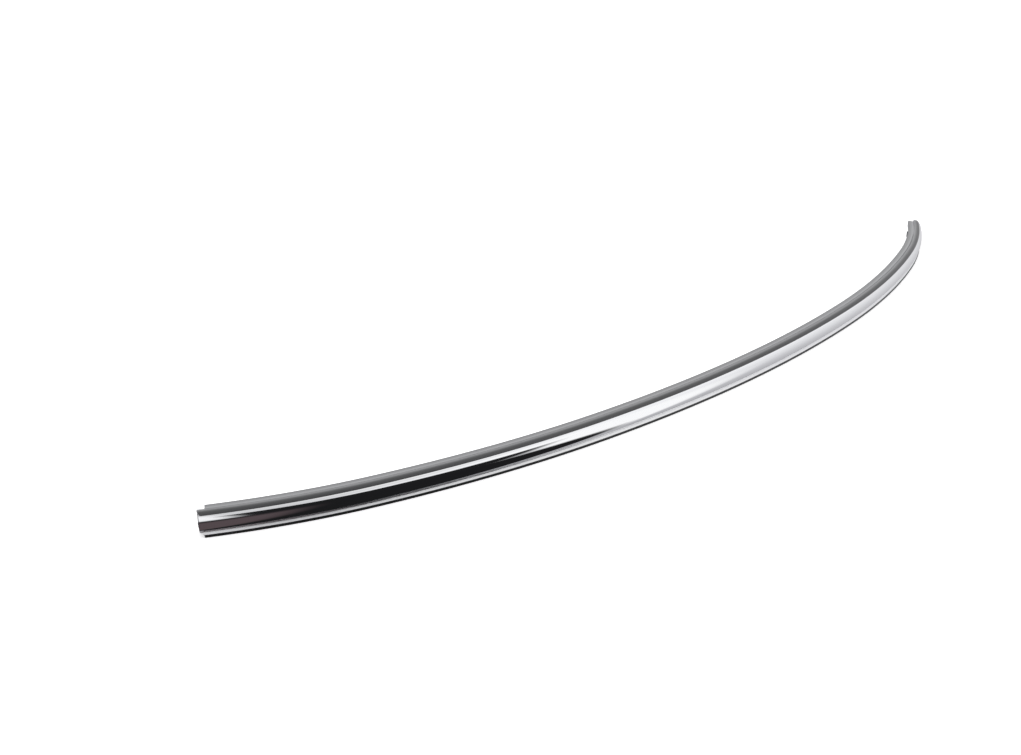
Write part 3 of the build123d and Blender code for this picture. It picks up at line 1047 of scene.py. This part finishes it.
def studio_reflection(graph):
    """The room that the bright face mirrors: white sheets and a dark side in front."""
    ray = graph.node("ShaderNodeTexCoord", {}, {}, output="Generated")
    across = graph.node("ShaderNodeSeparateXYZ", {}, {"Vector": ray}, output="X")
    ahead = 0.0 - across.part("Y")
    azimuth = graph.maths("ARCTAN2", across, ahead) * degrees(1)
    height = graph.maths("ARCSINE", across.part("Z")) * degrees(1)
    below = graph.maths("MAXIMUM", 0.0 - height, 0.0)
    above = graph.maths("MAXIMUM", height, 0.0)
    # the dark side is narrowest at the horizon, and reaches further right above and below it
    spread = DARK_SPREAD_BELOW * below + DARK_SPREAD_ABOVE * above
    right = 1 - graph.ramp(azimuth - spread, *DARK_RIGHT)
    low = (1 - graph.ramp(height, *DARK_LOW_TOP)) * graph.ramp(azimuth, *DARK_LOW_LEFT)
    left = graph.maths("MAXIMUM", graph.ramp(azimuth, *DARK_LEFT), low)
    top = 1 - graph.ramp(height + DARK_TOP_TILT * azimuth, *DARK_TOP)
    dark = left * right * top
    warm = (1 - graph.ramp(azimuth, *WARM_RIGHT)) * (1 - graph.ramp(height, *WARM_TOP))
    shade = graph.colour_mix(warm, DARK_SHADE, WARM_SHADE)
    bright = graph.colour_mix(graph.ramp(height, *SKY_RISE), SKY_LOW, SKY_HIGH)
    sheet = graph.ramp(azimuth, *SHEET_LEFT) * (1 - graph.ramp(azimuth, *SHEET_RIGHT))
    bright = graph.colour_mix(sheet, bright, SHEET_WHITE)
    overhead = graph.ramp(height, *OVERHEAD_BOTTOM) * (1 - graph.ramp(azimuth, *OVERHEAD_RIGHT))
    overhead = overhead * graph.ramp(azimuth, *OVERHEAD_LEFT)
    bright = graph.colour_mix(overhead * OVERHEAD_DIMMING, bright, OVERHEAD_GREY)
    behind = graph.ramp(graph.maths("ABSOLUTE", azimuth), *BEHIND_START)
    dim = behind * (1 - graph.ramp(height, *BEHIND_TOP))
    bright = graph.colour_mix(dim * BEHIND_DIMMING, bright, BEHIND_GREY)
    return graph.colour_mix(dark, bright, shade)


def make_world(settings):
    """Plain white behind everything, and a studio that lights and mirrors in the pieces."""
    world = bpy.data.worlds.new("studio")
    world.use_nodes = True
    graph = Graph(world.node_tree)
    seen = graph.node("ShaderNodeLightPath", {}, {}, output="Is Camera Ray")
    white = (settings.backdrop,) * 3
    colour = graph.colour_mix(seen, studio_reflection(graph), white)
    shader = graph.node("ShaderNodeBackground", {}, {"Color": colour, "Strength": 1.0})
    graph.node("ShaderNodeOutputWorld", {}, {"Surface": shader})
    bpy.context.scene.world = world


def make_camera(settings):
    """Camera level from side to side, looking down along the moulding."""
    heading, dip = settings.camera_heading, settings.camera_dip
    sight = Vector((sin(heading) * cos(dip), cos(heading) * cos(dip), -sin(dip)))
    data = bpy.data.cameras.new("camera")
    data.lens = settings.lens
    data.clip_start, data.clip_end = CLIP_DISTANCES
    camera = bpy.data.objects.new("camera", data)
    camera.location = settings.camera_place
    camera.rotation_euler = sight.to_track_quat("-Z", "Y").to_euler()
    bpy.context.scene.collection.objects.link(camera)
    bpy.context.scene.camera = camera


class TRIM_OT_stage(bpy.types.Operator):
    """Make the floor, the lights and the camera"""

    bl_idname = "trim.stage"
    bl_label = "Stage"

    def execute(self, context):
        settings = context.scene.trim_stage
        make_floor(settings)
        make_lamp("overhead", at=LAMP_PLACE, side=LAMP_SIDE, power=settings.lamp_power)
        make_world(settings)
        make_camera(settings)
        context.scene.view_settings.view_transform = "Standard"
        return {"FINISHED"}


OPERATORS = (
    TRIM_OT_cover,
    TRIM_OT_upper_band,
    TRIM_OT_lower_seal,
    TRIM_OT_carrier,
    TRIM_OT_clips,
    TRIM_OT_screws,
    TRIM_OT_stage,
)
SETTINGS = {
    "trim_cover": TrimCoverSettings,
    "trim_seals": TrimSealSettings,
    "trim_hardware": TrimHardwareSettings,
    "trim_stage": TrimStageSettings,
}


class TRIM_PT_panel(bpy.types.Panel):
    """Lists the moulding's settings and the steps that build it"""

    bl_idname = "TRIM_PT_panel"
    bl_label = "Curved trim moulding"
    bl_space_type = "VIEW_3D"
    bl_region_type = "UI"
    bl_category = "Moulding"

    def draw(self, context):
        for name, group in SETTINGS.items():
            box = self.layout.box()
            for field in group.__annotations__:
                box.prop(getattr(context.scene, name), field)
        for operator in OPERATORS:
            self.layout.operator(operator.bl_idname)


def register():
    """Adds the classes and their settings to Blender."""
    for cls in (*SETTINGS.values(), *OPERATORS, TRIM_PT_panel):
        bpy.utils.register_class(cls)
    for name, group in SETTINGS.items():
        setattr(bpy.types.Scene, name, PointerProperty(type=group))


def unregister():
    """Takes the classes and their settings away again."""
    for name in SETTINGS:
        delattr(bpy.types.Scene, name)
    for cls in reversed((*SETTINGS.values(), *OPERATORS, TRIM_PT_panel)):
        bpy.utils.unregister_class(cls)


def main():
    register()
    for operator in OPERATORS:
        group, name = operator.bl_idname.split(".")
        getattr(getattr(bpy.ops, group), name)()


if __name__ == "__main__":
    main()
